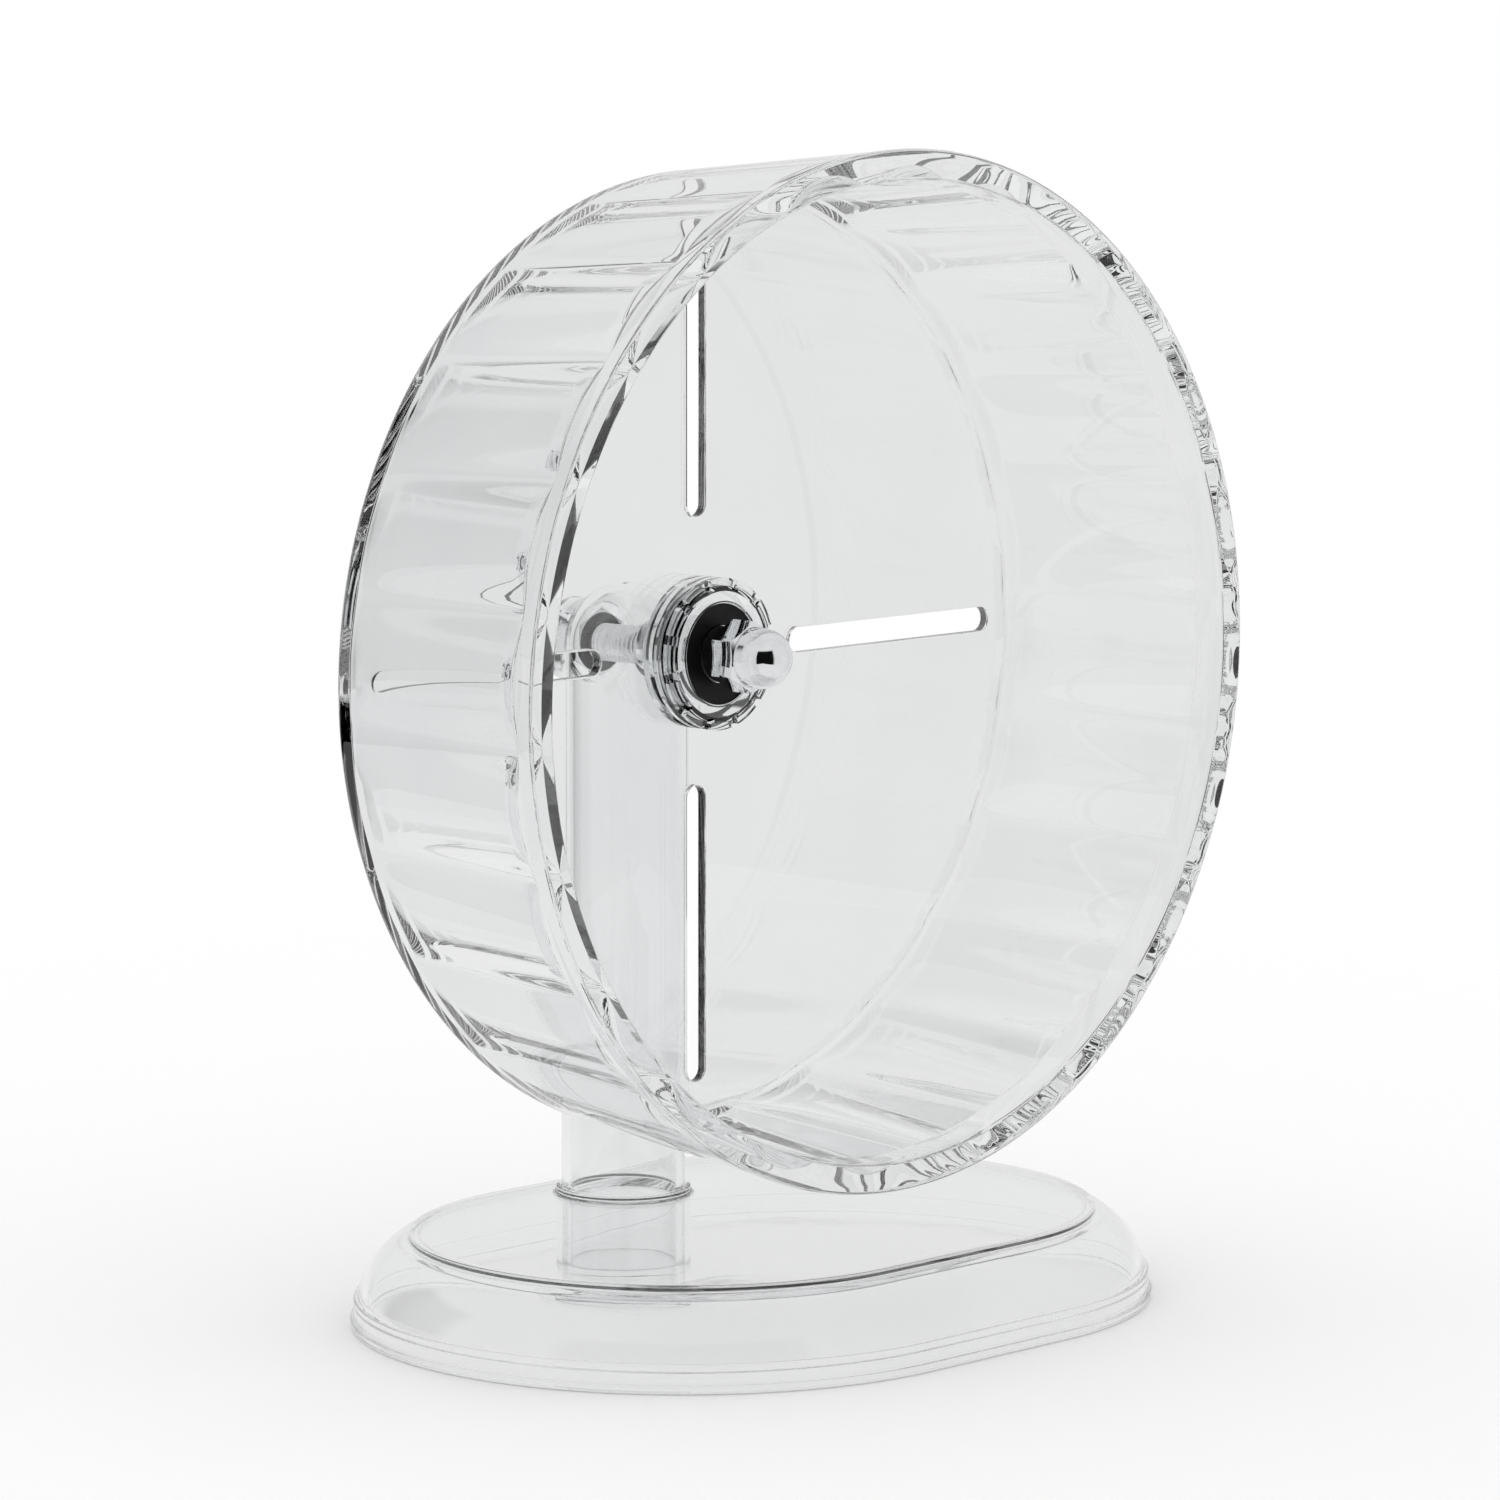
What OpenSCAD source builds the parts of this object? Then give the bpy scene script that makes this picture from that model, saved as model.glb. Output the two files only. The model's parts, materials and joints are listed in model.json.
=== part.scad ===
// Clear hamster wheel on a stand, in millimetres.
// The origin is the middle of the base's footprint, on the table.
// +Z is up, the open side of the wheel faces -Y, and the axle lies along Y.

/* [Wheel drum] */
// Outer diameter at the open front
wheel_front_d = 210; // [190:0.5:230]
// Outer diameter at the closed back
wheel_back_d = 198.8; // [180:0.2:206]
// Depth from the front edge to the back of the disc
wheel_depth = 61; // [45:0.5:70]
// How far the front edge stands in front of the middle of the base
wheel_set = 41.7; // [30:0.1:50]
// Gap between the wheel and the top of the base
wheel_clearance = 10.7; // [6:0.1:25]
// Thickness of the back disc
disc_t = 2.4; // [1.8:0.1:3.5]
// Radius of the rounded edge round the back of the disc
disc_edge_r = 2.2; // [1:0.1:3]

/* [Running track] */
// Number of flutes round the track
flute_count = 24; // [16:1:32]
// Wall of the track in the middle of a flute
flute_wall = 2.6; // [2:0.1:3]
// Wall of the track at the ridges between flutes, next to the disc
ridge_wall = 4; // [3.4:0.1:5]
// Width of the lip round the open front
rim_lip_w = 6.2; // [4.5:0.1:8]
// Depth of the lip, from the front edge to the ends of the flutes
rim_lip_deep = 7; // [3:0.5:12]
// Length over which a flute runs out next to the disc
flute_run_out = 14; // [8:0.5:20]
// Length over which a flute runs out at the lip
flute_end = 0.5; // [0.3:0.1:4]
// Turn of the first ridge from +X
ridge_turn = 4; // [0:0.5:15]

/* [Disc slots] */
// Number of slots
slot_count = 4; // [3:1:6]
// Width of a slot
slot_w = 5.2; // [3:0.1:8]
// Distance from the edge of the hub to the inner end of a slot
slot_hub_gap = 12.2; // [5:0.1:25]
// Distance from the outer end of a slot to the track
slot_track_gap = 5.4; // [3:0.1:30]

/* [Bearing] */
// Outer diameter of the bearing
brg_d = 22; // [21:0.5:24]
// Bore of the bearing
brg_bore = 8; // [7.8:0.1:8.4]
// Width of the bearing
brg_w = 7; // [6:0.5:9]
// Diameter of a ball
ball_d = 3.969; // [3.5:0.001:4.2]
// Number of balls
ball_count = 7; // [6:1:8]
// Thickness of a seal
seal_t = 0.9; // [0.6:0.05:1.1]
// How far a seal lies below the face of the bearing
seal_recess = 0.3; // [0.1:0.05:0.5]
// Width of the steel ring left outside a seal
race_rim = 0.5; // [0.4:0.05:1]
// Distance from the circle of the balls to the lands of the races
race_land = 1.55; // [1.4:0.05:1.7]
// Width of the cage, from its inside to its outside
cage_w = 1.9; // [1.5:0.1:2.4]
// Length of the cage behind the middle of the balls
cage_back = 1.9; // [1.6:0.05:1.95]
// Length of the cage in front of the middle of the balls
cage_front = 1.2; // [0.8:0.05:1.6]
// Distance from the back of the disc to the back of the bearing
brg_set = 2.4; // [1:0.1:3]

/* [Hub] */
// Wall of the hub housing round the bearing
housing_wall = 2; // [1.5:0.1:3]
// Wall of the lock ring round the housing
ring_wall = 1.1; // [0.8:0.1:2]
// Wall of the spigot that passes through the disc
spigot_wall = 1.5; // [1:0.1:2]
// Thickness of the flange in front of the disc
hub_flange_t = 1.6; // [1:0.1:2.5]
// Width of the lip that the bearing sits against
seat_lip = 1.7; // [1:0.1:2]
// Thickness of the lip in front of the bearing
ring_lip_t = 0.6; // [0.4:0.1:2]
// How far that lip reaches over the outer ring of the bearing
ring_lip_grip = 0.2; // [0.1:0.05:0.4]
// Depth of the grooves round the lock ring
ring_groove = 1.6; // [0.8:0.1:2]
// Number of ridges round the lock ring
ridge_count = 2; // [2:1:3]
// Number of grip notches on the lock ring
notch_count = 12; // [8:1:16]
// Width of a notch
notch_w = 2; // [1:0.1:3]
// Depth of a notch
notch_deep = 0.8; // [0.4:0.1:1]

/* [Bolt and nuts] */
// Thread pitch
thread_pitch = 1.25; // [1:0.05:1.5]
// Depth of the thread
thread_depth = 0.6; // [0.4:0.05:0.75]
// Size of the hexagons across their flats
hex_af = 13; // [12:0.1:13.5]
// Height of the turned corners of the hexagons
hex_chamfer = 0.6; // [0.3:0.1:1]
// Height of the bolt head
head_h = 5.3; // [4:0.1:6]
// Height of the thin nut behind the bearing
stop_nut_h = 4; // [3:0.1:6]
// Thickness of the spacer ring in front of the bearing
spacer_t = 3; // [2:0.1:4]
// Diameter of the spacer ring
spacer_d = 11.6; // [10.5:0.1:12]
// Height of the hexagon of the acorn nut
acorn_hex_h = 6.5; // [5:0.1:8]
// Diameter of the dome of the acorn nut
dome_d = 12.5; // [11.5:0.1:12.8]
// How far the thread reaches into the dome of the acorn nut
dome_thread = 2.4; // [1:0.1:3]
// Length of thread inside the acorn nut
acorn_thread = 11.1; // [9:0.1:12]

/* [Post] */
// Diameter of the post
post_d = 26; // [24:0.2:30]
// Wall of the post
post_wall = 1.8; // [1.4:0.1:2.6]
// Gap between the disc and the post
post_gap = 6.2; // [4:0.1:10]
// Distance from the middle of the post back to the seat of the bolt head
head_set = 8.3; // [7:0.1:9.5]
// Wall of the boss that carries the bolt inside the post
boss_wall = 2.6; // [2:0.1:4]
// Length of the boss inside the front wall
boss_len = 3; // [1:0.5:5]
// Wall of the cup round the bolt head
cup_wall = 1.2; // [1:0.05:2]
// Length of the cup behind its floor
cup_len = 7.5; // [6:0.1:10]
// Thickness of the floor of the cup
cup_floor = 1.8; // [1.2:0.1:3]

/* [Base] */
// Length of the base
base_len = 178.6; // [160:0.2:200]
// Width of the base, front to back
base_wid = 136.6; // [128:0.2:150]
// Height of the base
base_h = 19; // [17:0.5:26]
// How far the top plate lies inside the outline of the base
plate_inset = 12; // [8:0.5:14]
// Height of the step round the top plate
plate_step = 1.4; // [0.8:0.1:2.5]
// Flat shoulder round the top plate
shoulder_w = 1.4; // [0.6:0.1:2]
// Height of the lip at the foot of the skirt
lip_h = 1.7; // [1:0.1:2.5]
// How far the lip stands out of the band above it
lip_out = 0.7; // [0.3:0.1:1.5]
// Height of the ledge at the top of the band
ledge_h = 5.8; // [4:0.1:8]
// Width of the ledge
ledge_w = 0.9; // [0.4:0.1:1.5]
// How far the skirt bulges out of a straight slope
skirt_bulge = 1.85; // [1.2:0.05:2.6]
// Wall of the base
base_wall = 2; // [1.6:0.1:3]
// Wall of the socket for the post
socket_wall = 1.1; // [0.9:0.1:2]
// Thickness of the floor under the post
socket_floor = 1.8; // [1.2:0.1:3]
// Height of the socket floor above the table
socket_lift = 0.6; // [0.3:0.1:2]
// Height of the collar above the top plate
collar_h = 1; // [0.6:0.1:3]

/* [Fits] */
// Gap on each side of a part that slides or presses into another
fit_gap = 0.03; // [0.02:0.01:0.1]
// Gap between a ball and its races
ball_gap = 0.05; // [0.03:0.01:0.08]
// Gap between a seal and the inner race
seal_gap = 0.17; // [0.1:0.01:0.25]
// Gap on each side of the post in its socket
socket_gap = 0.1; // [0.05:0.01:0.3]
// Gap round the bolt head in its hexagon cup
head_gap = 0.12; // [0.05:0.01:0.3]
// Gap round a ball in its cage
pocket_gap = 0.1; // [0.05:0.01:0.15]
// Room past the end of the bolt in the acorn nut
tip_room = 0.3; // [0.1:0.1:1]

/* [Hidden] */
$fn = 96;
cut_over = 1;

clear_plastic = [0.88, 0.91, 0.92, 0.4];
steel = [0.72, 0.73, 0.75];
chrome = [0.85, 0.86, 0.88];
rubber = [0.05, 0.05, 0.06];
nylon = [0.35, 0.33, 0.3];
black_nylon = [0.08, 0.08, 0.09];

// Places along the axle are heights in front of the back of the disc
axle_h = base_h + wheel_clearance + wheel_front_d / 2;
disc_back_y = wheel_depth - wheel_set;
brg_back = brg_set;
brg_front = brg_back + brg_w;
brg_mid = (brg_back + brg_front) / 2;
acorn_base = brg_front + spacer_t;
bolt_tip = acorn_base + acorn_thread;
head_seat = -(post_gap + post_d / 2 + head_set);
post_y = disc_back_y + post_gap + post_d / 2;

// Track
rise = wheel_front_d / 2 - wheel_back_d / 2;
steps_per_flute = 6;
track_steps = flute_count * steps_per_flute;
run_out_steps = [0, 0.06, 0.2, 0.42, 0.7, 1];
end_steps = [1, 0.55, 0.2, 0];

// Bearing
pitch_r = (brg_d + brg_bore) / 4;
groove_r = ball_d / 2 + ball_gap;
inner_land_r = pitch_r - race_land;
outer_land_r = pitch_r + race_land;
seal_seat_r = brg_d / 2 - race_rim;
seal_seat = brg_w / 2 - seal_t - seal_recess;

// Hub
pocket_r = brg_d / 2 + fit_gap;
barrel_r = pocket_r + housing_wall;
ring_bore_r = barrel_r + fit_gap;
spigot_r = pocket_r + spigot_wall;
disc_hole_r = spigot_r + fit_gap;
ring_body_r = ring_bore_r + ring_wall;
hub_r = ring_body_r + ring_groove;
ring_back = disc_t + hub_flange_t;
ring_len = brg_front - ring_back;
ridge_w = ring_len / (2 * ridge_count);

// Slots
slot_in = hub_r + slot_hub_gap;
slot_out = drum_r(disc_t) - ridge_wall - slot_track_gap;

// Bolt and nuts
bolt_d = brg_bore - 2 * fit_gap;
hole_r = bolt_d / 2 + fit_gap;
hex_corner_r = hex_af / 2 / cos(30);
hex_turn = 30;
dome_height = acorn_thread - dome_thread;
crest = thread_pitch / 8;
root_r = bolt_d / 2 - thread_depth;

// Post
boss_r = hole_r + boss_wall;
cup_pocket_r = hex_corner_r + head_gap;
cup_r = cup_pocket_r + cup_wall;

// Base
core = (base_len - base_wid) / 2;
lip_r = base_wid / 2;
band_r = lip_r - lip_out;
skirt_low = [band_r - ledge_w, ledge_h];
plate_r = lip_r - plate_inset;
skirt_high = [plate_r + shoulder_w, base_h - plate_step];
skirt_chord = norm(skirt_high - skirt_low);
skirt_r = skirt_chord * skirt_chord / (8 * skirt_bulge) + skirt_bulge / 2;
skirt_out = [skirt_high[1] - skirt_low[1], skirt_low[0] - skirt_high[0]] / skirt_chord;
skirt_mid = (skirt_low + skirt_high) / 2 - skirt_out * (skirt_r - skirt_bulge);
socket_r = post_d / 2 + socket_gap;
post_foot = socket_lift + socket_floor;

// Outer radius of the drum at a height in front of the back of the disc
function drum_r(z) = wheel_back_d / 2 + rise * (z - disc_edge_r) / (wheel_depth - disc_edge_r);

// Depth of a flute across its width, from 0 at the ridges to 1 in the middle
function flute_shape(i) = 1 - pow(2 * (i % steps_per_flute) / steps_per_flute - 1, 2);

// Radius of the ridges and of the lip at a height in front of the back of the disc
function ridge_r(z) =
    let (back = drum_r(disc_t) - ridge_wall)
    let (front = wheel_front_d / 2 - rim_lip_w)
    back + (front - back) * (z - disc_t) / (wheel_depth - disc_t);

// Share of its depth that a flute has at a share of its run-out
function run_out(t) = sqrt(1 - pow(1 - t, 2));

// Places the axle's frame: up the axle is towards the open front
module on_axle() {
    translate([0, disc_back_y, axle_h])
        rotate([90, 0, 0])
            children();
}

// Flat outline with round ends
module slot_outline(w, d) {
    for (side = [-1, 1])
        translate([side * (w - d) / 2, 0])
            circle(d = d);
    square([w - d, d], center = true);
}

// Hexagon prism with a corner at the top
module hex_prism(r, h) {
    rotate([0, 0, hex_turn])
        cylinder(r = r, h = h, $fn = 6);
}

// Hexagon with its corners turned off at both ends
module hex_body(h) {
    face_r = hex_corner_r - 2 * hex_chamfer;
    intersection() {
        hex_prism(hex_corner_r, h);
        rotate_extrude()
            polygon([
                [0, 0], [face_r, 0], [hex_corner_r, hex_chamfer],
                [hex_corner_r, h - hex_chamfer], [face_r, h], [0, h]
            ]);
    }
}

// Turns half of a racetrack's section round each end and runs it along the sides
module racetrack() {
    for (side = [0, 180])
        rotate([0, 0, side]) {
            translate([core, 0, 0])
                rotate([0, 0, -90])
                    rotate_extrude(angle = 180)
                        children();
            translate([-core, 0, 0])
                rotate([90, 0, 90])
                    linear_extrude(2 * core)
                        children();
        }
}

// Outside of the base, from its middle line outwards
module base_skin() {
    square([lip_r, lip_h]);
    square([band_r, ledge_h]);
    square([skirt_mid[0], skirt_high[1]]);
    square([plate_r, base_h]);
    intersection() {
        translate(skirt_mid)
            circle(r = skirt_r);
        translate([skirt_mid[0], 0])
            square([skirt_r, skirt_high[1]]);
        square([skirt_low[0], base_h]);
    }
}

// Hollow under the base, open at the table
module base_hollow() {
    translate([0, -cut_over])
        square([band_r - base_wall, ledge_h - base_wall + cut_over]);
    square([skirt_mid[0], skirt_high[1] - base_wall]);
    square([plate_r - base_wall, base_h - base_wall]);
    intersection() {
        translate(skirt_mid)
            circle(r = skirt_r - base_wall);
        translate([skirt_mid[0], 0])
            square([skirt_r, skirt_high[1] - base_wall]);
        square([skirt_low[0] - base_wall, base_h]);
    }
}

// Places a piece at the foot of the post
module at_socket(z) {
    translate([0, post_y, z])
        children();
}

module base() {
    color(clear_plastic)
        difference() {
            union() {
                difference() {
                    racetrack() base_skin();
                    racetrack() base_hollow();
                }
                at_socket(socket_lift)
                    cylinder(r = socket_r + socket_wall, h = base_h + collar_h - socket_lift);
            }
            at_socket(post_foot)
                cylinder(r = socket_r, h = base_h + collar_h);
        }
}

// Round upright with a domed top about the axle, smaller by a wall all round
module post_form(wall, foot) {
    r = post_d / 2 - wall;
    at_socket(0)
        rotate_extrude() {
            translate([0, foot])
                square([r, axle_h - foot]);
            translate([0, axle_h])
                intersection() {
                    circle(r = r);
                    square(r);
                }
        }
}

module post() {
    cup_back = head_seat - cup_len;
    front_wall = -post_gap - post_wall;
    color(clear_plastic)
        difference() {
            union() {
                difference() {
                    post_form(0, post_foot);
                    post_form(post_wall, post_foot - cut_over);
                }
                intersection() {
                    on_axle()
                        translate([0, 0, front_wall - boss_len])
                            cylinder(r = boss_r, h = boss_len + 2 * post_wall);
                    post_form(0, post_foot);
                }
                on_axle()
                    translate([0, 0, cup_back])
                        cylinder(r = cup_r, h = cup_len + cup_floor);
            }
            on_axle()
                translate([0, 0, cup_back - cut_over]) {
                    cylinder(r = hole_r, h = -cup_back);
                    hex_prism(cup_pocket_r, cup_len + cut_over);
                }
        }
}

// Outline of a stretch of thread, where each turn is one ridge
function thread_outline(from, to) =
    let (turns = floor((to - from) / thread_pitch))
    let (start = (from + to - turns * thread_pitch) / 2)
    [
        for (i = [0:turns - 1])
            let (low = start + i * thread_pitch)
            let (top = low + thread_pitch / 2)
            each [
                [root_r, low + crest / 2], [bolt_d / 2, top - crest / 2],
                [bolt_d / 2, top + crest / 2], [root_r, low + thread_pitch - crest / 2]
            ]
    ];

module axle_bolt() {
    journal_back = brg_back - stop_nut_h;
    rod_back = head_seat - head_h / 2;
    color(steel)
        on_axle() {
            translate([0, 0, head_seat - head_h])
                hex_body(head_h);
            rotate_extrude()
                polygon(concat(
                    [[0, rod_back], [root_r, rod_back]],
                    thread_outline(head_seat, journal_back),
                    [[root_r, journal_back], [bolt_d / 2, journal_back]],
                    [[bolt_d / 2, acorn_base], [root_r, acorn_base]],
                    thread_outline(acorn_base, bolt_tip),
                    [[root_r, bolt_tip], [0, bolt_tip]]
                ));
        }
}

// Space inside the drum: a tapered track with flutes that run out at the disc and at the lip
module track_space() {
    lip_back = wheel_depth - rim_lip_deep;
    heights = concat(
        [for (t = run_out_steps) disc_t + t * flute_run_out],
        [for (t = end_steps) lip_back - t * flute_end],
        [wheel_depth + cut_over]
    );
    shares = concat([for (t = run_out_steps) run_out(t)], [for (t = end_steps) run_out(t)], [0]);
    rings = len(heights);
    points = [
        for (k = [0:rings - 1], i = [0:track_steps - 1])
            let (a = ridge_turn + 360 * i / track_steps)
            let (z = heights[k])
            let (full_depth = drum_r(z) - flute_wall - ridge_r(z))
            let (r = ridge_r(z) + full_depth * shares[k] * flute_shape(i))
            [r * cos(a), r * sin(a), z]
    ];
    sides = [
        for (k = [0:rings - 2], i = [0:track_steps - 1])
            let (a = k * track_steps + i)
            let (b = k * track_steps + (i + 1) % track_steps)
            each [[a, a + track_steps, b], [b, a + track_steps, b + track_steps]]
    ];
    back = [for (i = [0:track_steps - 1]) i];
    front = [for (i = [track_steps - 1:-1:0]) (rings - 1) * track_steps + i];
    polyhedron(points, concat([back], sides, [front]));
}

module wheel_drum() {
    color(clear_plastic)
        on_axle()
            difference() {
                rotate_extrude() {
                    polygon([
                        [0, 0], [wheel_back_d / 2 - disc_edge_r, 0],
                        [wheel_back_d / 2 - disc_edge_r, disc_edge_r], [wheel_back_d / 2, disc_edge_r],
                        [wheel_front_d / 2, wheel_depth], [0, wheel_depth]
                    ]);
                    translate([wheel_back_d / 2 - disc_edge_r, disc_edge_r])
                        circle(r = disc_edge_r);
                }
                track_space();
                translate([0, 0, -cut_over])
                    cylinder(r = disc_hole_r, h = disc_t + 2 * cut_over);
                for (i = [0:slot_count - 1])
                    rotate([0, 0, 360 * i / slot_count])
                        translate([(slot_in + slot_out) / 2, 0, -cut_over])
                            linear_extrude(disc_t + 2 * cut_over)
                                slot_outline(slot_out - slot_in, slot_w);
            }
}

module hub_housing() {
    seat_r = brg_d / 2 - seat_lip;
    barrel_front = brg_front - fit_gap;
    color(clear_plastic)
        on_axle()
            rotate_extrude()
                polygon([
                    [seat_r, 0], [spigot_r, 0], [spigot_r, disc_t],
                    [hub_r, disc_t], [hub_r, ring_back], [barrel_r, ring_back],
                    [barrel_r, barrel_front], [pocket_r, barrel_front],
                    [pocket_r, brg_back], [seat_r, brg_back]
                ]);
}

module hub_lock_ring() {
    lip_in_r = brg_d / 2 - ring_lip_grip;
    notch_r = ring_body_r - notch_deep;
    color(clear_plastic)
        on_axle()
            difference() {
                rotate_extrude() {
                    translate([ring_bore_r, ring_back])
                        square([ring_body_r - ring_bore_r, ring_len + ring_lip_t]);
                    translate([lip_in_r, brg_front])
                        square([ring_body_r - lip_in_r, ring_lip_t]);
                    for (i = [0:ridge_count - 1])
                        translate([ring_bore_r, ring_back + (2 * i + 1) * ridge_w])
                            square([hub_r - ring_bore_r, ridge_w]);
                }
                for (i = [0:notch_count - 1])
                    rotate([0, 0, 360 * (i + 0.5) / notch_count])
                        translate([notch_r, -notch_w / 2, brg_front - ridge_w])
                            cube([hub_r + cut_over - notch_r, notch_w, ring_lip_t + ridge_w + cut_over]);
            }
}

// Section of the groove that the balls run in
module ball_groove() {
    translate([pitch_r, brg_mid])
        circle(r = groove_r);
}

module bearing_outer_race() {
    color(steel)
        on_axle()
            rotate_extrude()
                difference() {
                    translate([outer_land_r, brg_back])
                        square([brg_d / 2 - outer_land_r, brg_w]);
                    for (side = [-1, 1])
                        translate([0, brg_mid + side * (seal_seat + brg_w / 2)])
                            square([2 * seal_seat_r, brg_w], center = true);
                    ball_groove();
                }
}

module bearing_inner_race() {
    color(steel)
        on_axle()
            rotate_extrude()
                difference() {
                    translate([brg_bore / 2, brg_back])
                        square([inner_land_r - brg_bore / 2, brg_w]);
                    ball_groove();
                }
}

// Places a piece at each ball in turn
module at_ball(i) {
    rotate([0, 0, 360 * i / ball_count])
        translate([pitch_r, 0, brg_mid])
            children();
}

module bearing_cage() {
    color(nylon)
        on_axle()
            difference() {
                rotate_extrude()
                    translate([pitch_r - cage_w / 2, brg_mid - cage_back])
                        square([cage_w, cage_back + cage_front]);
                for (i = [1:ball_count])
                    at_ball(i)
                        sphere(d = ball_d + 2 * pocket_gap);
            }
}

module bearing_ball(i) {
    color(chrome)
        on_axle()
            at_ball(i)
                sphere(d = ball_d);
}

// Seal ring that rests on its seat in the outer race
module seal(base) {
    color(rubber)
        on_axle()
            rotate_extrude()
                translate([inner_land_r + seal_gap, base])
                    square([seal_seat_r - fit_gap - inner_land_r - seal_gap, seal_t]);
}

module bearing_front_seal() {
    seal(brg_mid + seal_seat);
}

module bearing_rear_seal() {
    seal(brg_mid - seal_seat - seal_t);
}

module bearing_stop_nut() {
    color(steel)
        on_axle()
            translate([0, 0, brg_back - stop_nut_h])
                difference() {
                    hex_body(stop_nut_h);
                    translate([0, 0, -cut_over])
                        cylinder(r = hole_r, h = stop_nut_h + 2 * cut_over);
                }
}

module front_spacer() {
    color(black_nylon)
        on_axle()
            translate([0, 0, brg_front])
                difference() {
                    cylinder(d = spacer_d, h = spacer_t);
                    translate([0, 0, -cut_over])
                        cylinder(r = hole_r, h = spacer_t + 2 * cut_over);
                }
}

module acorn_nut() {
    color(chrome)
        on_axle()
            translate([0, 0, acorn_base])
                difference() {
                    union() {
                        hex_body(acorn_hex_h);
                        cylinder(d = dome_d, h = dome_height);
                        translate([0, 0, dome_height])
                            sphere(d = dome_d);
                    }
                    translate([0, 0, -cut_over])
                        cylinder(r = hole_r, h = acorn_thread + tip_room + cut_over);
                }
}

base();
post();
axle_bolt();
wheel_drum();
hub_housing();
hub_lock_ring();
bearing_outer_race();
bearing_inner_race();
bearing_cage();
bearing_front_seal();
bearing_rear_seal();
for (i = [1:ball_count])
    bearing_ball(i);
bearing_stop_nut();
front_spacer();
acorn_nut();
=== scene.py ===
"""Looks of a clear hamster wheel on a stand, round its CAD frame. Metres, +Z up, open front towards -Y."""

import json
import math

import bmesh
import bpy
from mathutils import Matrix, Vector


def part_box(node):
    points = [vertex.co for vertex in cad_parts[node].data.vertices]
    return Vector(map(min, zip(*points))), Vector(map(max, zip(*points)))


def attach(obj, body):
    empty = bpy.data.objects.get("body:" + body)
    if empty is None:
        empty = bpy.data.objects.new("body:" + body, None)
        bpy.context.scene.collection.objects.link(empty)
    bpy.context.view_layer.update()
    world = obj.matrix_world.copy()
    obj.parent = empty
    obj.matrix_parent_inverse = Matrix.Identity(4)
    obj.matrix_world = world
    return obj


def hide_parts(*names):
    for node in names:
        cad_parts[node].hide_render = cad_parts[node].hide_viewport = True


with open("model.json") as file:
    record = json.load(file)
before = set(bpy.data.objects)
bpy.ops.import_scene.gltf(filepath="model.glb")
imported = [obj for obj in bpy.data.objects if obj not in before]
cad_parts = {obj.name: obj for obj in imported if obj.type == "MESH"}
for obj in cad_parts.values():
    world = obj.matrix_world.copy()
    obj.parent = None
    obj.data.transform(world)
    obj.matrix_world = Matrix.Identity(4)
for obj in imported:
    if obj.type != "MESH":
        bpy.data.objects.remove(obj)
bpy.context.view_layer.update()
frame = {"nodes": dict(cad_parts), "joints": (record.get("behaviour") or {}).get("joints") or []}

MM = 0.001
NODES = frame["nodes"]

# Places read from the frame
drum_low, drum_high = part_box("wheel_drum")
_, base_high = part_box("base")
post_low, post_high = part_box("post")
housing_low, housing_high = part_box("hub_housing")
AXLE = Vector(frame["joints"][0]["pos_m"])
BACK_Y = drum_high.y
DEPTH = drum_high.y - drum_low.y
FRONT_R = (drum_high.z - drum_low.z) / 2
HUB_R = (housing_high.x - housing_low.x) / 2
TO_AXLE = Matrix.Translation((0, BACK_Y, AXLE.z)) @ Matrix.Rotation(math.radians(90), 4, "X")

# Drum
BACK_R = 99.4 * MM
DISC_T = 2.4 * MM
DISC_EDGE_R = 2.2 * MM
RIM_ROUND = 0.7 * MM
DISC_FILLET = 1.2 * MM
FLUTES = 24
FLUTE_WALL = 2.6 * MM
RIDGE_WALL = 4.0 * MM
RIM_LIP_W = 6.2 * MM
RIM_LIP_DEEP = 7.0 * MM
FLUTE_RUN_OUT = 14 * MM
FLUTE_END = 0.5 * MM
RIDGE_SOFT = 0.08
RIDGE_TURN = math.radians(4)
STEPS_PER_FLUTE = 32
HUB_HOLE_R = 12.56 * MM
SLOTS = 4
SLOT_W = 5.2 * MM
SLOT_HUB_GAP = 12.2 * MM
SLOT_TRACK_GAP = 5.4 * MM
SLOT_ROUND = 0.4 * MM

# Base
BASE_WALL = 2.0 * MM
PLATE_INSET = 12 * MM
PLATE_STEP = 1.4 * MM
SHOULDER = 1.4 * MM
COLLAR = 1.0 * MM
LIP_H = 1.7 * MM
LIP_OUT = 0.7 * MM
LEDGE_H = 5.8 * MM
LEDGE_W = 0.9 * MM
SKIRT_BULGE = 1.85 * MM
SOCKET_LIFT = 0.6 * MM
SOCKET_WALL = 1.1 * MM
SOCKET_GAP = 0.1 * MM
POST_R = (post_high.x - post_low.x) / 2
POST_Y = post_low.y + POST_R
EDGE_ROUND = 0.5 * MM
LEDGE_ROUND = 0.4 * MM
STEP_ROUND = 0.3 * MM
HOLLOW_ROUND = 0.25 * MM
LIP_ROUND = 0.2 * MM
FLAT_START = 1.0 * MM

# Meshes: angles in radians, and how many steps go into each stretch of a line
SHARP_TURN = math.radians(32)
NEARLY_STRAIGHT = 0.01
SAME_PLACE = 0.01 * MM
CORNER_STEPS = 5
ROUND_STEPS = 6
BACK_EDGE_STEPS = 10
OUTSIDE_STEPS = 12
LIP_STEPS = 4
FLUTE_END_STEPS = 12
TRACK_STEPS = 10
RUN_OUT_STEPS = 16
SLOT_EDGE_STEPS = 4
SLOT_STEPS = 16
HOLE_STEPS = 96
TURN_STEPS = 64
SKIRT_STEPS = 16
HOLLOW_STEPS = 14
SOCKET_STEPS = 128

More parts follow.
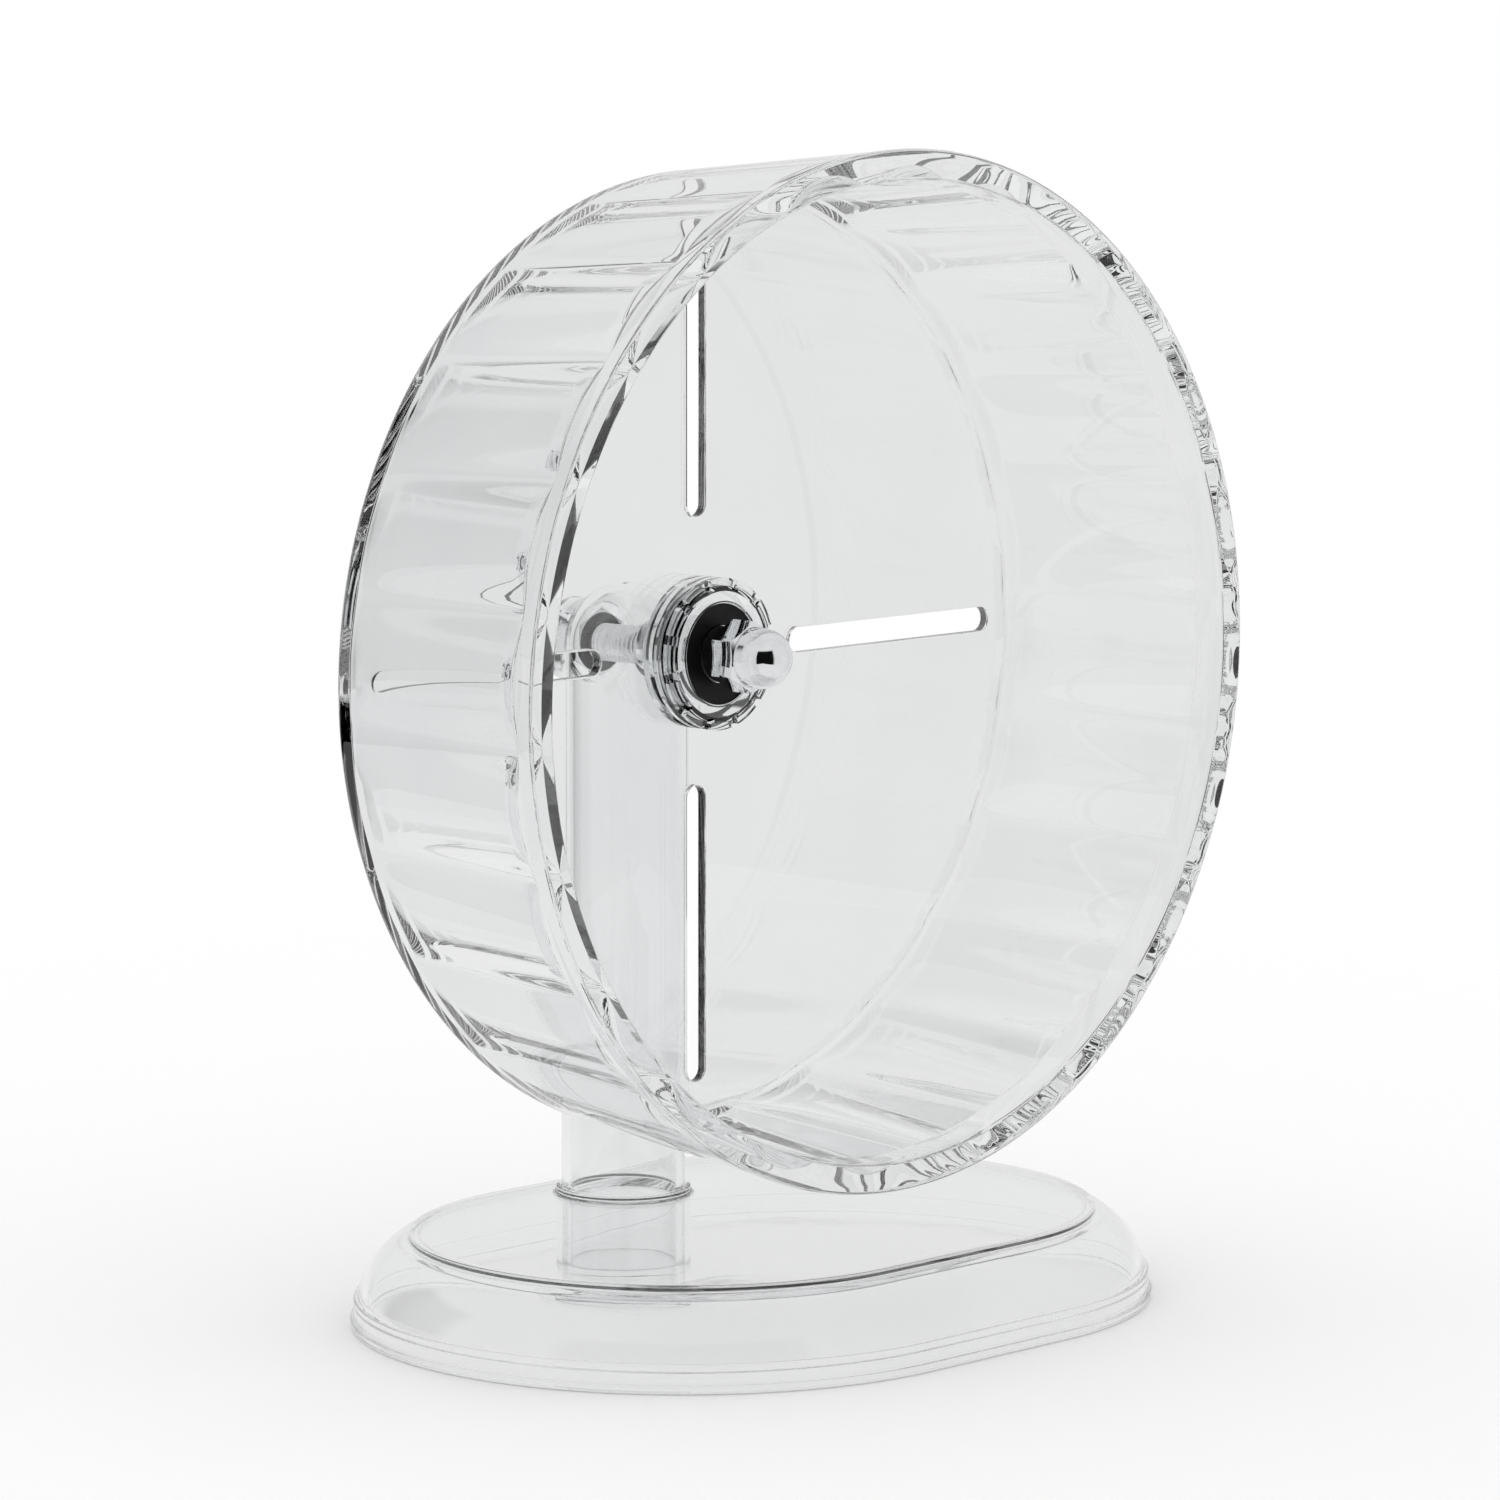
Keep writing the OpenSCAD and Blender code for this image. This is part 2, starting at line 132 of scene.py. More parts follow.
# Finishes: noise scales are in features per metre, and the middle span of a noise covers a whole finish
NOISE_SPAN = (0.3, 0.7)
GRAIN_DETAIL = 4
PLASTIC_IOR = 1.5
PLASTIC_TINT_SCALE = 25
PLASTIC_HAZE = 0.012
PLASTIC_HAZE_SCALE = 160
PLASTIC_RIPPLE = 0.01 * MM
PLASTIC_RIPPLE_SCALE = 60
PLASTIC_RIPPLE_DETAIL = 1.5

# Studio flags, each a middle and half a width in degrees round the object
# Mirrors show the near flag, and single reflections of clear pieces the side flag
NEAR_FLAG = (-136, 45)
SIDE_FLAG = (112, 18)
# Light that a clear wall turned again and again shows the front flag
FRONT_FLAG = (-80, 60)
GUIDED_TURNS = 2
# Light that the rim turned once shows the back and high flags, and light that it turned twice the far flag
BACK_FLAG = (120, 25)
HIGH_FLAG = (100, 35)
FAR_FLAG = (54, 30)
FLAG_SOFT = 5
# Rise of a direction where the low flags end and the high flag starts, from 0 at the horizon to 1
LOW_FLAG_RISE = 0.5
HIGH_FLAG_RISE = 0.55
FLAG_SOFT_RISE = 0.1

# Tones of the studio and of the floor, as shares of white, and the reach of the floor
STUDIO_TONE = 0.8
FLAG_TONE = 0.005
FLOOR_TONE = 0.9
FLOOR_SEEN_TONE = 0.2
FLOOR_SEEN_GLOW = 0.68
FLOOR_FAR_GLOW = 0.625
FLOOR_NEAR_R = 0.12
FLOOR_FAR_R = 0.3
FLOOR_HALF = 0.45
FLOOR_CARD_X = -0.04
FLOOR_DROP = 0.0002

# Camera, as found from the outlines of the rim, disc and base in the 1500 pixel frame
PHOTO_SIDE = 1500
VIEW_AZIMUTH = math.radians(-45.68)
VIEW_ELEVATION = math.radians(6.42)
VIEW_DISTANCE = 1.35
VIEW_TARGET = Vector((0, 0.0169, AXLE.z))
FOCAL_PIXELS = 6539
TARGET_PIXEL = (696.8, 651.4)
SENSOR = 36

# Turns that light may take, enough for the thick rim
ALL_BOUNCES = 64
CLEAR_BOUNCES = 32
MIRROR_BOUNCES = 48


# Mesh helpers

def new_piece(name, bm, material, body, nodes, matrix=None):
    """Makes an object from a bmesh, hangs it on the body it rides on, and hides the CAD nodes it stands
    for.
    """
    mesh = bpy.data.meshes.new(name)
    if matrix is not None:
        bm.transform(matrix)
    bm.to_mesh(mesh)
    bm.free()
    piece = bpy.data.objects.new(name, mesh)
    bpy.context.scene.collection.objects.link(piece)
    mesh.materials.append(material)
    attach(piece, body)
    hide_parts(*nodes)
    return piece


def soften(bm, flat_edges=()):
    """Shades every face smooth, apart from sharp corners and the rims of flat faces."""
    bmesh.ops.recalc_face_normals(bm, faces=bm.faces)
    for face in bm.faces:
        face.smooth = True
    for edge in bm.edges:
        edge.smooth = edge.calc_face_angle(0) < SHARP_TURN
    for edge in flat_edges:
        if edge.is_valid:
            edge.smooth = False


def ring(bm, points):
    """A closed ring of vertices."""
    return [bm.verts.new(p) for p in points]


def join_rings(bm, first, second):
    """Quads between two rings with as many vertices."""
    ahead = zip(first[1:] + first[:1], second[1:] + second[:1])
    return [bm.faces.new((a, c, d, b)) for a, b, (c, d) in zip(first, second, ahead)]


def join_all(bm, rings):
    """Quads between each ring and the next, as a list of bands."""
    return [join_rings(bm, first, second) for first, second in zip(rings, rings[1:])]


def mark_bands(line, bands, radius):
    """Gives the upright bands of a section at a radius the second material, a near-black plastic that
    paints dark shade on those faces.
    """
    for (r, _), (next_r, _), band in zip(line, line[1:], bands):
        if max(abs(r - radius), abs(next_r - radius)) < SAME_PLACE:
            for face in band:
                face.material_index = 1


def ring_edges(bm, verts):
    """The edges along a ring, made where a face hasn't made them yet."""
    edges = []
    for a, b in zip(verts, verts[1:] + verts[:1]):
        edges.append(bm.edges.get((a, b)) or bm.edges.new((a, b)))
    return edges


def fill_flat(bm, *rings):
    """Fills a flat face between an outer ring and the holes in it, and returns its rim."""
    edges = [e for verts in rings for e in ring_edges(bm, verts)]
    bmesh.ops.triangle_fill(bm, use_beauty=True, edges=edges)
    return edges


def circle(radius, z, steps, centre=(0, 0)):
    turns = [2 * math.pi * i / steps for i in range(steps)]
    return [(centre[0] + radius * math.cos(a), centre[1] + radius * math.sin(a), z) for a in turns]


def arc(centre, radius, start, end, steps):
    """Points of an arc in a section, angles in degrees."""
    turns = [math.radians(start + (end - start) * i / steps) for i in range(steps + 1)]
    return [(centre[0] + radius * math.cos(a), centre[1] + radius * math.sin(a)) for a in turns]


def rounded(corners):
    """An open section line through corners (x, z, radius), with an arc in each corner that has a radius."""
    line = [Vector(corners[0][:2])]
    for before, here, after in zip(corners, corners[1:], corners[2:]):
        point = Vector(here[:2])
        radius = here[2]
        into = (Vector(before[:2]) - point).normalized()
        out = (Vector(after[:2]) - point).normalized()
        half = into.angle(out) / 2
        if radius == 0 or abs(half - math.pi / 2) < NEARLY_STRAIGHT:
            line.append(point)
            continue
        reach = radius / math.tan(half)
        middle = point + (into + out).normalized() * radius / math.sin(half)
        start = point + into * reach - middle
        sweep = start.angle_signed(point + out * reach - middle)
        for i in range(CORNER_STEPS + 1):
            line.append(middle + Matrix.Rotation(-sweep * i / CORNER_STEPS, 2) @ start)
    line.append(Vector(corners[-1][:2]))
    return [tuple(p) for p in line]


# Materials

def new_material(name):
    material = bpy.data.materials.new(name)
    material.use_nodes = True
    return material, material.node_tree, material.node_tree.nodes["Principled BSDF"]


def add_noise(tree, scale, detail=3.0):
    """Noise over the piece."""
    place = tree.nodes.new("ShaderNodeTexCoord")
    noise = tree.nodes.new("ShaderNodeTexNoise")
    noise.inputs["Scale"].default_value = scale
    noise.inputs["Detail"].default_value = detail
    tree.links.new(place.outputs["Object"], noise.inputs["Vector"])
    return noise.outputs["Fac"]


def vary(tree, source, socket, low, high):
    """Drives a socket between two values."""
    span = tree.nodes.new("ShaderNodeMapRange")
    span.inputs["From Min"].default_value = NOISE_SPAN[0]
    span.inputs["From Max"].default_value = NOISE_SPAN[1]
    span.inputs["To Min"].default_value = low
    span.inputs["To Max"].default_value = high
    tree.links.new(source, span.inputs["Value"])
    tree.links.new(span.outputs["Result"], socket)


def tint(tree, source, socket, dark, pale):
    """Drives a colour between two tones."""
    ramp = tree.nodes.new("ShaderNodeValToRGB")
    for stop, position, tone in zip(ramp.color_ramp.elements, NOISE_SPAN, (dark, pale)):
        stop.position = position
        stop.color = (*tone, 1)
    tree.links.new(source, ramp.inputs["Fac"])
    tree.links.new(ramp.outputs["Color"], socket)


def add_bump(tree, source, shader, height):
    bump = tree.nodes.new("ShaderNodeBump")
    bump.inputs["Strength"].default_value = 1
    bump.inputs["Distance"].default_value = height
    tree.links.new(source, bump.inputs["Height"])
    tree.links.new(bump.outputs["Normal"], shader.inputs["Normal"])


def grey(tone):
    return (tone, tone, tone)


def clear_plastic(name, dark=(0.95, 0.955, 0.96), pale=(0.98, 0.985, 0.985)):
    """Clear moulded plastic with a faint ripple and a trace of haze."""
    material, tree, shader = new_material(name)
    shader.inputs["Transmission Weight"].default_value = 1
    shader.inputs["IOR"].default_value = PLASTIC_IOR
    tint(tree, add_noise(tree, PLASTIC_TINT_SCALE), shader.inputs["Base Color"], dark, pale)
    vary(tree, add_noise(tree, PLASTIC_HAZE_SCALE), shader.inputs["Roughness"], 0, PLASTIC_HAZE)
    ripple = add_noise(tree, PLASTIC_RIPPLE_SCALE, PLASTIC_RIPPLE_DETAIL)
    add_bump(tree, ripple, shader, PLASTIC_RIPPLE)
    return material


def bare_metal(name, dark, pale, roughness, height, scale):
    """Bare or plated metal with a fine grain."""
    material, tree, shader = new_material(name)
    shader.inputs["Metallic"].default_value = 1
    grain = add_noise(tree, scale, GRAIN_DETAIL)
    tint(tree, grain, shader.inputs["Base Color"], dark, pale)
    vary(tree, add_noise(tree, scale / 3), shader.inputs["Roughness"], *roughness)
    add_bump(tree, grain, shader, height)
    return material


def dull(name, dark, pale, roughness, height, scale, gloss):
    """Rubber or nylon with a soft sheen."""
    material, tree, shader = new_material(name)
    shader.inputs["Specular IOR Level"].default_value = gloss
    grain = add_noise(tree, scale, GRAIN_DETAIL)
    tint(tree, add_noise(tree, scale / 6), shader.inputs["Base Color"], dark, pale)
    vary(tree, add_noise(tree, scale / 4), shader.inputs["Roughness"], *roughness)
    add_bump(tree, grain, shader, height)
    return material


DRUM_PLASTIC = clear_plastic("drum_plastic")
STAND_PLASTIC = clear_plastic("stand_plastic")
# Near-black clear plastic for the slot walls, the plate step and the socket collar: painted dark shade
# standing in for the dark edges that light gives there
PAINTED_SHADE_PLASTIC = clear_plastic("painted_shade_edge_plastic", grey(0.02), grey(0.04))
ZINC = bare_metal("zinc_plate", (0.86, 0.87, 0.88), grey(0.95), (0.2, 0.3), 0.006 * MM, 900)
GROUND_STEEL = bare_metal(
    "ground_steel", (0.66, 0.67, 0.68), (0.8, 0.81, 0.82), (0.1, 0.2), 0.003 * MM, 1500
)
CHROME = bare_metal("chrome_plate", (0.8, 0.81, 0.83), (0.88, 0.89, 0.9), (0.02, 0.07), 0.002 * MM, 500)
RUBBER = dull("seal_rubber", grey(0.003), grey(0.006), (0.4, 0.55), 0.01 * MM, 2500, 0.2)
BLACK_NYLON = dull("black_nylon", grey(0.006), grey(0.012), (0.3, 0.45), 0.008 * MM, 2000, 0.3)
CAGE_NYLON = dull("cage_nylon", (0.28, 0.26, 0.23), (0.36, 0.33, 0.3), (0.4, 0.6), 0.01 * MM, 2000, 0.5)

# Finishes of the CAD nodes that show as they are
BALLS = [name for name in NODES if name.startswith("bearing_ball_")]
FINISHES = (
    (STAND_PLASTIC, ["post"]),
    (DRUM_PLASTIC, ["hub_housing", "hub_lock_ring"]),
    (ZINC, ["axle_bolt", "bearing_stop_nut"]),
    (GROUND_STEEL, ["bearing_outer_race", "bearing_inner_race"] + BALLS),
    (RUBBER, ["bearing_front_seal", "bearing_rear_seal"]),
    (CAGE_NYLON, ["bearing_cage"]),
    (BLACK_NYLON, ["front_spacer"]),
    (CHROME, ["acorn_nut"]),
)


# Drum

def outer_r(z):
    """Outer radius of the drum at a distance in front of the back of the disc."""
    return BACK_R + (FRONT_R - BACK_R) * (z - DISC_EDGE_R) / (DEPTH - DISC_EDGE_R)


def flute_shape(turn):
    """Depth of a flute across its width, from 0 at the ridges to 1 in the middle, with soft ridges."""
    share = turn * FLUTES / (2 * math.pi) % 1
    away = math.hypot(min(share, 1 - share), RIDGE_SOFT)
    lowest = RIDGE_SOFT * (1 - RIDGE_SOFT)
    return (away * (1 - away) - lowest) / (0.25 - lowest)


def ridge_r(z):
    """Radius of the ridges and of the lip."""
    back = outer_r(DISC_T) - RIDGE_WALL
    return back + (FRONT_R - RIM_LIP_W - back) * (z - DISC_T) / (DEPTH - DISC_T)


def run_out(share):
    """Rise from 0 to 1 along a quarter of an ellipse."""
    share = min(max(share, 0), 1)
    return math.sqrt(1 - (1 - share) ** 2)


def flute_depth(z):
    """Depth of the flutes along the track, which run out at the disc and at the lip."""
    full = outer_r(z) - FLUTE_WALL - ridge_r(z)
    back = run_out((z - DISC_T) / FLUTE_RUN_OUT)
    front = run_out((DEPTH - RIM_LIP_DEEP - z) / FLUTE_END)
    return full * min(back, front)


def track_ring(z, inset=0.0, lift=0.0):
    """Points round the fluted track at a height, moved outwards and up."""
    steps = FLUTES * STEPS_PER_FLUTE
    points = []
    for i in range(steps):
        turn = 2 * math.pi * i / steps
        r = ridge_r(z) + flute_depth(z) * flute_shape(turn - RIDGE_TURN) + inset
        points.append((r * math.cos(turn), r * math.sin(turn), z + lift))
    return points


def between(start, end, steps, bend=1.0):
    """Places from just after the start to the end, closer together near the start as the bend grows."""
    return [start + (end - start) * (k / steps) ** bend for k in range(1, steps + 1)]


def slot_ring(grow, z, turn):
    """Outline of a slot, grown all round."""
    inner = HUB_R + SLOT_HUB_GAP + SLOT_W / 2
    outer = outer_r(DISC_T) - RIDGE_WALL - SLOT_TRACK_GAP - SLOT_W / 2
    radius = SLOT_W / 2 + grow
    line = arc((outer, 0), radius, -90, 90, SLOT_STEPS) + arc((inner, 0), radius, 90, 270, SLOT_STEPS)
    c, s = math.cos(turn), math.sin(turn)
    return [(x * c - y * s, x * s + y * c, z) for x, y in line]


def build_drum():
    """The drum in one piece: outer wall, rim, fluted track, slotted disc and the hole for the hub."""
    bm = bmesh.new()
    steps = FLUTES * STEPS_PER_FLUTE
    around = [2 * math.pi * i / steps for i in range(steps)]
    # Outside, from the back of the disc to the front edge
    section = arc((BACK_R - DISC_EDGE_R, DISC_EDGE_R), DISC_EDGE_R, -90, 0, BACK_EDGE_STEPS)
    section += [(outer_r(z), z) for z in between(DISC_EDGE_R, DEPTH, OUTSIDE_STEPS)[:-1]]
    section += arc((FRONT_R - RIM_ROUND, DEPTH - RIM_ROUND), RIM_ROUND, 0, 90, ROUND_STEPS)
    rings = [ring(bm, [(r * math.cos(a), r * math.sin(a), z) for a in around]) for r, z in section]
    # Front edge, then along the track to the disc
    for k in range(ROUND_STEPS + 1):
        turn = math.radians(90 + 90 * k / ROUND_STEPS)
        lift = RIM_ROUND * math.sin(turn)
        rings.append(ring(bm, track_ring(DEPTH - RIM_ROUND, RIM_ROUND * (1 + math.cos(turn)), lift)))
    low = DISC_T + DISC_FILLET
    lip_back = DEPTH - RIM_LIP_DEEP
    heights = between(DEPTH - RIM_ROUND, lip_back, LIP_STEPS)
    heights += between(lip_back, lip_back - FLUTE_END, FLUTE_END_STEPS, 2)
    heights += between(lip_back - FLUTE_END, DISC_T + FLUTE_RUN_OUT, TRACK_STEPS)
    heights += between(DISC_T + FLUTE_RUN_OUT, low, RUN_OUT_STEPS)[:-1]
    for z in heights:
        rings.append(ring(bm, track_ring(z)))
    for k in range(ROUND_STEPS + 1):
        turn = math.radians(90 * k / ROUND_STEPS)
        inset = DISC_FILLET * (math.cos(turn) - 1)
        rings.append(ring(bm, track_ring(low, inset, -DISC_FILLET * math.sin(turn))))
    join_all(bm, rings)
    # Slots and the hole for the hub, with rounded edges
    edge = arc((SLOT_ROUND, SLOT_ROUND), SLOT_ROUND, -90, -180, SLOT_EDGE_STEPS)
    edge += [(g, DISC_T - z) for g, z in reversed(edge)]
    back_rings = [rings[0]]
    front_rings = [rings[-1]]
    for i in range(SLOTS):
        walls = [ring(bm, slot_ring(g, z, 2 * math.pi * i / SLOTS)) for g, z in edge]
        # The straight slot walls get the near-black plastic: painted dark shade
        mark_bands(edge, join_all(bm, walls), 0)
        back_rings.append(walls[0])
        front_rings.append(walls[-1])
    hole = [ring(bm, circle(HUB_HOLE_R, z, HOLE_STEPS)) for z in (0, DISC_T)]
    join_all(bm, hole)
    back_rings.append(hole[0])
    front_rings.append(hole[1])
    rims = fill_flat(bm, *back_rings) + fill_flat(bm, *front_rings)
    soften(bm, rims)
    drum = new_piece("running_drum", bm, DRUM_PLASTIC, "wheel", ["wheel_drum"], TO_AXLE)
    drum.data.materials.append(PAINTED_SHADE_PLASTIC)


# Base

def racetrack(offset, z, core):
    """A ring round the base at a distance from its middle line."""
    right = arc((core, 0), offset, -90, 90, TURN_STEPS)
    left = arc((-core, 0), offset, 90, 270, TURN_STEPS)
    return [(x, y, z) for x, y in right + left]


def build_base():
    """The hollow base in one piece: plate, skirt, foot and the socket for the post."""
    bm = bmesh.new()
    lip_r = base_high.y
    core = base_high.x - lip_r
    top = base_high.z - COLLAR
    band_r = lip_r - LIP_OUT
    plate_r = lip_r - PLATE_INSET
    low = Vector((band_r - LEDGE_W, LEDGE_H))
    high = Vector((plate_r + SHOULDER, top - PLATE_STEP))
    chord = (high - low).length
    skirt_r = chord * chord / (8 * SKIRT_BULGE) + SKIRT_BULGE / 2
    out = Vector((high.y - low.y, low.x - high.x)) / chord
    middle = (low + high) / 2 - out * (skirt_r - SKIRT_BULGE)
    start = math.degrees(math.atan2(high.y - middle.y, high.x - middle.x))
    end = math.degrees(math.atan2(low.y - middle.y, low.x - middle.x))
    skirt = [(x, z, 0) for x, z in arc(middle, skirt_r, start, end, SKIRT_STEPS)]
    inner_r = skirt_r - BASE_WALL
    hollow_top = high.y - BASE_WALL
    hollow_out = low.x - BASE_WALL
    inner_start = math.degrees(math.asin((hollow_top - middle.y) / inner_r))
    inner_end = math.degrees(math.acos((hollow_out - middle.x) / inner_r))
    inner_end = -inner_end if middle.y > LEDGE_H else inner_end
    inside = [(x, z, 0) for x, z in arc(middle, inner_r, inner_end, inner_start, HOLLOW_STEPS)]
    plate_in = plate_r - BASE_WALL
    band_in = band_r - BASE_WALL
    plate_low = top - BASE_WALL
    ledge_low = LEDGE_H - BASE_WALL
    line = rounded(
        [(plate_r - FLAT_START, top, 0), (plate_r, top, EDGE_ROUND), (plate_r, high.y, STEP_ROUND)]
        + skirt
        + [(band_r, LEDGE_H, LEDGE_ROUND), (band_r, LIP_H, LIP_ROUND)]
        + [(lip_r, LIP_H, LEDGE_ROUND), (lip_r, 0, EDGE_ROUND), (band_in, 0, EDGE_ROUND)]
        + [(band_in, ledge_low, HOLLOW_ROUND), (hollow_out, ledge_low, HOLLOW_ROUND)]
        + inside
        + [(plate_in, hollow_top, HOLLOW_ROUND), (plate_in, plate_low, HOLLOW_ROUND)]
        + [(plate_in - FLAT_START, plate_low, 0)]
    )
    shell = [ring(bm, racetrack(d, z, core)) for d, z in line]
    # The upright step round the plate gets the near-black plastic: painted dark shade
    mark_bands(line, join_all(bm, shell), plate_r)
    # Socket for the post, from the plate up over its collar, down its bore and down its outside
    bore = POST_R + SOCKET_GAP
    sleeve = bore + SOCKET_WALL
    floor = post_low.z
    collar = rounded(
        [(sleeve + FLAT_START, top, 0), (sleeve, top, STEP_ROUND), (sleeve, base_high.z, STEP_ROUND)]
        + [(bore, base_high.z, STEP_ROUND), (bore, floor, EDGE_ROUND), (bore - FLAT_START, floor, 0)]
    )
    outside = rounded(
        [(sleeve + FLAT_START, plate_low, 0), (sleeve, plate_low, EDGE_ROUND)]
        + [(sleeve, SOCKET_LIFT, EDGE_ROUND), (sleeve - FLAT_START, SOCKET_LIFT, 0)]
    )
    socket = [ring(bm, circle(r, z, SOCKET_STEPS, (0, POST_Y))) for r, z in collar]
    under = [ring(bm, circle(r, z, SOCKET_STEPS, (0, POST_Y))) for r, z in outside]
    # The upright face of the collar gets the near-black plastic: painted dark shade
    mark_bands(collar, join_all(bm, socket), sleeve)
    join_all(bm, under)
    rims = fill_flat(bm, shell[0], socket[0]) + fill_flat(bm, shell[-1], under[0])
    rims += fill_flat(bm, socket[-1]) + fill_flat(bm, under[-1])
    soften(bm, rims)
    shell = new_piece("base_shell", bm, STAND_PLASTIC, "stand", ["base"])
    shell.data.materials.append(PAINTED_SHADE_PLASTIC)


# Stage

class Sums:
    """Arithmetic on the sockets of a node tree."""

    def __init__(self, tree):
        self.tree = tree

    def __call__(self, operation, first, second=None):
        node = self.tree.nodes.new("ShaderNodeMath")
        node.operation = operation
        for socket, value in zip(node.inputs, (first, second)):
            if isinstance(value, (int, float)):
                socket.default_value = value
            elif value is not None:
                self.tree.links.new(value, socket)
        return node.outputs[0]

    def ease(self, value, low, high):
        """A soft step from 0 to 1 between two values."""
        node = self.tree.nodes.new("ShaderNodeMapRange")
        node.interpolation_type = "SMOOTHSTEP"
        node.inputs["From Min"].default_value = low
        node.inputs["From Max"].default_value = high
        self.tree.links.new(value, node.inputs["Value"])
        return node.outputs["Result"]

    def counts(self, value, least, most):
        """Whether a whole number lies between two others, or is one of them."""
        over = self("GREATER_THAN", value, least - 0.5)
        return self("MULTIPLY", over, self("LESS_THAN", value, most + 0.5))

    def length(self, x, y):
        return self("SQRT", self("ADD", self("POWER", x, 2), self("POWER", y, 2)))


def through_rim(sums, path, turns):
    """Light that crossed two walls, and was turned so many times on the way."""
    turned = sums.counts(path.outputs["Glossy Depth"], turns, turns)
    return sums("MULTIPLY", turned, sums.counts(path.outputs["Transmission Depth"], 4, 4))


def set_world():
    """Even white light, with a pale grey studio and dark flags that clear and bright pieces show."""
    world = bpy.data.worlds.new("studio")
    bpy.context.scene.world = world
    world.use_nodes = True
    tree = world.node_tree
    background = tree.nodes["Background"]
    background.inputs["Color"].default_value = (1, 1, 1, 1)
    sums = Sums(tree)
    place = tree.nodes.new("ShaderNodeTexCoord")
    split = tree.nodes.new("ShaderNodeSeparateXYZ")
    tree.links.new(place.outputs["Generated"], split.inputs[0])
    azimuth = sums("ARCTAN2", split.outputs["Y"], split.outputs["X"])

    def flag(middle, half_width, seen_by):
        wave = sums("COSINE", sums("SUBTRACT", azimuth, math.radians(middle)))
        outer = math.cos(math.radians(half_width + FLAG_SOFT))
        inner = math.cos(math.radians(half_width - FLAG_SOFT))
        return sums("MULTIPLY", sums.ease(wave, outer, inner), seen_by)

    path = tree.nodes.new("ShaderNodeLightPath")
    turns = path.outputs["Glossy Depth"]
    crossings = path.outputs["Transmission Depth"]
    level = sums("ABSOLUTE", split.outputs["Z"])
    low = sums.ease(level, LOW_FLAG_RISE + FLAG_SOFT_RISE, LOW_FLAG_RISE)
    high = sums.ease(split.outputs["Z"], HIGH_FLAG_RISE, HIGH_FLAG_RISE + FLAG_SOFT_RISE)
    mirrored = sums("MULTIPLY", low, sums.counts(crossings, 0, 0))
    skin = sums("MULTIPLY", sums.counts(turns, 1, 1), sums.counts(crossings, 0, 2))
    skin = sums("MULTIPLY", low, skin)
    turned_once = through_rim(sums, path, 1)
    guided = sums("GREATER_THAN", turns, GUIDED_TURNS - 0.5)
    dark = flag(*NEAR_FLAG, mirrored)
    dark = sums("MAXIMUM", dark, flag(*FRONT_FLAG, guided))
    dark = sums("MAXIMUM", dark, flag(*SIDE_FLAG, skin))
    dark = sums("MAXIMUM", dark, flag(*BACK_FLAG, turned_once))
    dark = sums("MAXIMUM", dark, flag(*HIGH_FLAG, sums("MULTIPLY", high, turned_once)))
    dark = sums("MAXIMUM", dark, flag(*FAR_FLAG, through_rim(sums, path, 2)))
    studio = sums("SUBTRACT", STUDIO_TONE, sums("MULTIPLY", dark, STUDIO_TONE - FLAG_TONE))
    bright = sums("MAXIMUM", path.outputs["Is Glossy Ray"], path.outputs["Is Transmission Ray"])
    direct = sums.counts(path.outputs["Diffuse Depth"], 0, 0)
    seen = sums("MULTIPLY", bright, direct)
    strength = sums("ADD", 1, sums("MULTIPLY", seen, sums("SUBTRACT", studio, 1)))
    tree.links.new(strength, background.inputs["Strength"])


